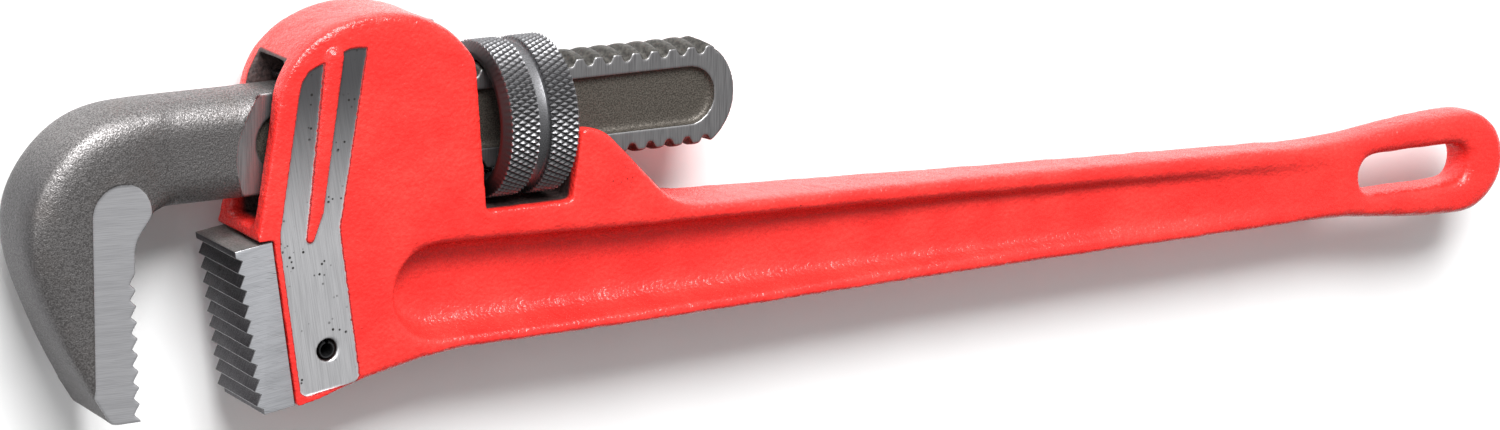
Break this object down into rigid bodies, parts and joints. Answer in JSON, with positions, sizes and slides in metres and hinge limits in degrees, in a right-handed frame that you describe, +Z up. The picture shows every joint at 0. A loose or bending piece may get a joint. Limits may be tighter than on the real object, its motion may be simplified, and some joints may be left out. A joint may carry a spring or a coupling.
{
  "type": "pipe wrench",
  "caption": "Straight adjustable pipe wrench: a threaded hook jaw slides through a cast head by a knurled nut, against a toothed heel jaw on an I-beam handle.",
  "frame": {"origin": "middle of the wrench's footprint, on the surface that it lies on, with the jaws closed as far as they go", "axes": "+X from the jaws to the end of the handle, +Y from the mouth of the jaws to the dome of the head, +Z up out of the side face"},
  "size_m": [0.4232, 0.0896, 0.037],
  "materials": {
    "enamel": "red enamel over a malleable iron casting, ground bright where the head's sides are machined",
    "jaw_steel": "hardened steel, ground sides and dark hardened teeth",
    "forged_steel": "grey forged and shot-blasted steel, milled flats left bright",
    "nut_steel": "steel with two diamond-knurled bands and a smooth groove",
    "spring_steel": "blued spring steel",
    "pin_steel": "dark plain steel"
  },
  "bodies": {
    "handle": {"handle_housing": "enamel", "heel_jaw": "jaw_steel", "heel_jaw_pin": "pin_steel", "flat_spring_rivet": "pin_steel", "coil_spring": "spring_steel"},
    "spring_leaf": {"flat_spring": "spring_steel"},
    "hook": {"hook_jaw": "forged_steel"},
    "nut": {"adjusting_nut": "nut_steel"}
  },
  "joints": [
    {"name": "jaw_rock", "type": "hinge", "parent": "handle", "child": "spring_leaf", "pos_m": [-0.08795, 0.01545, 0.0185], "axis": [0, 0, 1], "range_deg": [-1, 3], "stiffness_Nm_per_rad": 20, "deforming": ["coil_spring"]},
    {"name": "jaw_slide", "type": "slide", "parent": "spring_leaf", "child": "hook", "axis": [-1, 0, 0], "range_m": [0, 0.042]},
    {"name": "nut_spin", "type": "hinge", "parent": "spring_leaf", "child": "nut", "pos_m": [-0.08795, 0.01545, 0.0185], "axis": [1, 0, 0], "range_deg": [0, 3030]}
  ],
  "couplings": [
    {"joint": "nut_spin", "follows": "jaw_slide", "rad_per_m": 1256.6}
  ]
}
